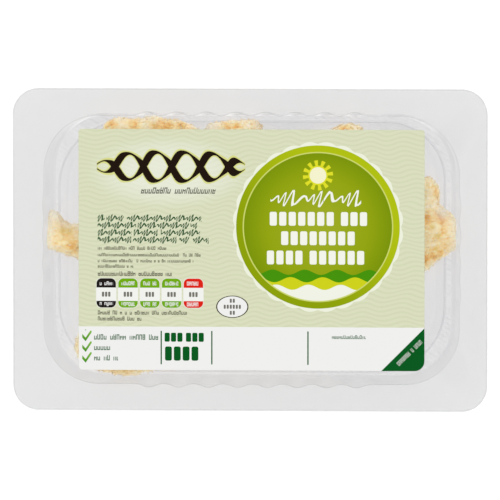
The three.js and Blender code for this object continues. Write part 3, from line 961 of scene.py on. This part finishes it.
def keep_in_tray(spots):
    """The same points, moved in where they come too near to the tray or the film.

    It also returns how far each is from touching the wall.
    """
    z = np.clip(spots[:, 2], PANEL_TOP + WALL_GAP / 2, FILM_LOW.z - FILM_SAG - 2 * WALL_GAP)
    drop = np.clip((FLANGE_TOP - LIP[1] - z) / (FLANGE_TOP - LIP[1] - WALL_FOOT[1]), 0, 1)
    inset = LIP[0] + (WALL_FOOT[0] - LIP[0]) * drop
    bend = np.clip((WALL_FOOT[1] - z) / (WALL_FOOT[1] - SHEET), 0, 1)
    inset = inset + (FOOT[0] - WALL_FOOT[0]) * (1 - np.sqrt(1 - bend ** 2))
    shift = mix(MOUTH_SHIFT, FOOT_SHIFT, inset / FOOT[0])
    x, y, corner = spots[:, 0] - shift, spots[:, 1], ROOM_CORNER
    room_x = MOUTH_LENGTH / 2 - inset - WALL_GAP - corner
    room_y = MOUTH_WIDTH / 2 - inset * LONG_WALL_SHARE - WALL_GAP - corner
    core_x, core_y = np.clip(x, -room_x, room_x), np.clip(y, -room_y, room_y)
    out = np.hypot(x - core_x, y - core_y)
    pull = np.where(out > corner, corner / np.maximum(out, 1e-9), 1)
    kept = np.column_stack([core_x + (x - core_x) * pull + shift, core_y + (y - core_y) * pull, z])
    return kept, np.maximum(0, corner - out)


def read_points(mesh):
    """A mesh's points and their normals, one row each."""
    count = len(mesh.vertices)
    spots, normals = np.zeros(count * 3, np.float32), np.zeros(count * 3, np.float32)
    mesh.vertices.foreach_get("co", spots)
    mesh.vertices.foreach_get("normal", normals)
    return spots.reshape(-1, 3).astype(float), normals.reshape(-1, 3).astype(float)


def shape_flesh(mesh, name):
    """Works the relief into the surface along its normals.

    Keeps each point's place along, across and up the fillet as its grain, for the fibres' colour, and its
    tone and how thin, amber, glassy and pale the flesh is there; sideways faces count as thin, as painted
    light.
    """
    spots, normals = read_points(mesh)
    level = spots[:, :2] - spots[:, :2].mean(0)
    directions = np.linalg.svd(level[:: max(1, len(level) // 4000)], full_matrices=False)[2]
    local = np.column_stack([level @ directions.T, spots[:, 2]]) / MM
    seed = sum(map(ord, name)) % 97
    made = [flesh_relief(*place, 1 - abs(up), seed) for place, up in zip(local, normals[:, 2])]
    relief, tone = np.array(made).T
    relief = relief - dents(spots, seed)
    spots, room = keep_in_tray(pressed(spots, name) + normals * (relief * MM)[:, None])
    amber, glassy, pale = [nearest(spots, places.get(name, [])) for places in (AMBER_AND_FOLD_SHADE, GLASSY, PALE)]
    # painted light: faces turned sideways are drawn paler, like thin flesh, against the shade they get
    steep = 0.7 * (1 - np.abs(normals[:, 2])) ** 2
    thin = np.max([np.clip(1 - room / THIN_REACH, 0, 1), steep, 0.8 * pale], axis=0) * (1 - 0.8 * amber)
    mesh.vertices.foreach_set("co", spots.astype(np.float32).ravel())
    grain = mesh.attributes.new("grain", "FLOAT_VECTOR", "POINT")
    grain.data.foreach_set("vector", local.astype(np.float32).ravel())
    for key, values in {"tone": tone, "thin": thin, "amber": amber, "glassy": glassy, "pale": pale}.items():
        mesh.attributes.new(key, "FLOAT", "POINT").data.foreach_set("value", values.astype(np.float32))
    mesh.update()


def dressed_fillet(node_name, flesh):
    """A fillet with flakes, cracks, fibres and torn edges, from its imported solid."""
    fillet = even_copy(node_name)
    shape_flesh(fillet.data, node_name)
    fillet.data.shade_smooth()
    fillet.data.materials.clear()
    fillet.data.materials.append(flesh)
    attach(fillet, "root")
    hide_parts(node_name)
    return fillet


def scattered(name, fillets, count, wanted, add, finish):
    """Small bits on the fillets as one mesh. Wanted says from a normal how likely a place gets one."""
    draw = random.Random(name)
    mesh = bpy.data.meshes.new(name)
    whole = bmesh.new()
    for fillet in fillets:
        spots, normals = read_points(fillet.data)
        likely = np.array([wanted(normal) for normal in normals])
        picks = draw.choices(range(len(spots)), likely, k=count)
        for start in range(0, count, BITS_AT_ONCE):
            some = bmesh.new()
            for pick in picks[start:start + BITS_AT_ONCE]:
                add(some, Vector(spots[pick]), Vector(normals[pick]), draw)
            some.to_mesh(mesh)
            some.free()
            whole.from_mesh(mesh)
    whole.to_mesh(mesh)
    whole.free()
    spots, _ = keep_in_tray(read_points(mesh)[0])
    mesh.vertices.foreach_set("co", spots.astype(np.float32).ravel())
    mesh.materials.append(finish)
    bits = link(name, mesh)
    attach(bits, "root")
    return bits


def add_fibre(bm, spot, normal, draw):
    """A short torn fibre that lies over the surface and stands a little off it."""
    sway = Vector((draw.uniform(-1, 1), draw.uniform(-1, 1), draw.uniform(-0.5, 0.5)))
    heading = (0.45 * normal + sway).normalized()
    length, radius = draw.uniform(*FIBRE_LENGTHS) * MM, draw.uniform(*FIBRE_RADII) * MM
    turn = heading.to_track_quat("Z", "Y").to_matrix().to_4x4()
    place = Matrix.Translation(spot + heading * (length * 0.3)) @ turn
    bmesh.ops.create_cone(bm, segments=4, radius1=radius, radius2=radius * 0.3, depth=length, matrix=place)


def add_grain(bm, spot, normal, draw):
    """A small salt crystal, half sunk."""
    tilt = Matrix.Rotation(draw.uniform(0, math.tau), 4, normal.orthogonal())
    turn = tilt @ Matrix.Rotation(draw.uniform(0, math.tau), 4, "Z")
    size = draw.uniform(*GRAIN_SIZES) * MM
    bmesh.ops.create_cube(bm, size=size, matrix=Matrix.Translation(spot) @ turn)


# ---- Stage, light and camera ----


def stage():
    """The pale floor, the white surroundings and the soft lamp."""
    bpy.ops.mesh.primitive_plane_add(size=STAGE_SIZE)
    floor = bpy.context.object
    floor.name = "floor"
    finish, output, place = new_finish("pale_floor")
    matte = place.node("ShaderNodeBsdfPrincipled", sockets={
        "Base Color": (FLOOR_GREY, FLOOR_GREY, FLOOR_GREY, 1), "Roughness": 0.9, "Specular IOR Level": 0.0,
        "Emission Color": (1, 1, 1, 1), "Emission Strength": FLOOR_GLOW})
    finish_with(output, matte)
    floor.data.materials.append(finish)

    world = bpy.data.worlds.new("studio")
    bpy.context.scene.world = world
    world.use_nodes = True
    world.node_tree.nodes["Background"].inputs["Color"].default_value = (1, 1, 1, 1)
    world.node_tree.nodes["Background"].inputs["Strength"].default_value = 1.0

    lamp = bpy.data.lights.new("soft_box", "AREA")
    lamp.shape, lamp.size, lamp.size_y, lamp.energy = "RECTANGLE", LAMP_LENGTH, LAMP_WIDTH, LAMP_POWER
    box = link("soft_box", lamp)
    box.location = LAMP_PLACE
    box.rotation_euler = (Vector((0, 0, 0)) - box.location).to_track_quat("-Z", "Y").to_euler()


def camera():
    """A long lens high over the pack, a few degrees towards its right and upper sides."""
    lean_x, lean_y = map(math.radians, EYE_LEAN)
    back = Vector((math.tan(lean_x), math.tan(lean_y), 1)).normalized()
    right = Vector((0, 1, 0)).cross(back).normalized()
    up = back.cross(right)
    lens = bpy.data.cameras.new("camera")
    lens.sensor_width = SENSOR
    lens.lens = SENSOR * EYE_DISTANCE / VIEW_WIDTH
    lens.clip_start, lens.clip_end = 0.1, 50
    eye = link("camera", lens)
    target = Vector((0, 0, FLANGE_TOP))
    turn = Matrix((right, up, back)).transposed().to_4x4()
    eye.matrix_world = Matrix.Translation(target + back * EYE_DISTANCE) @ turn
    bpy.context.scene.camera = eye


tray_plastic = clear_plastic("tray_plastic", haze=0.106, edge=0.165, rough=0.12, wave=0.08)
film_plastic = clear_plastic("film_plastic", haze=0.085, edge=0.25, rough=0.08, wave=0.06)
cod = dried_cod()
dressed_tray(tray_plastic)
thin_sheet("film", outline(PACK_LENGTH / 2, PACK_WIDTH / 2, PACK_CORNER), film_height,
           FILM_HIGH.z - FILM_LOW.z, [film_plastic], "lid_film")
label_finishes = [
    printed_label(), pale_finish("label_back", srgb(206, 208, 200), srgb(216, 217, 210), 0.4, 3, 0.3, 0.7)]
thin_sheet("printed_label", label_outline(), lambda x, y: film_height(x, y) + LABEL_HIGH.z - FILM_HIGH.z,
           LABEL_HIGH.z - LABEL_LOW.z, label_finishes, "label")
fillets = [dressed_fillet(name, cod) for name in sorted(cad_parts) if name.startswith("fillet_")]
scattered("torn_fibres", fillets, FIBRES_PER_FILLET, lambda normal: (1 - abs(normal[2])) ** 2, add_fibre,
          pale_finish("torn_flesh", srgb(238, 208, 152), srgb(244, 228, 192), 0.2))
scattered("salt_grains", fillets, GRAINS_PER_FILLET, lambda normal: 0.2 + 0.8 * abs(normal[2]), add_grain,
          pale_finish("salt", srgb(248, 236, 208), srgb(252, 246, 230), 0.5))
stage()
camera()

scene = bpy.context.scene
scene.view_settings.view_transform = "Standard"
scene.cycles.transparent_max_bounces = LAYERS_OF_CLEAR
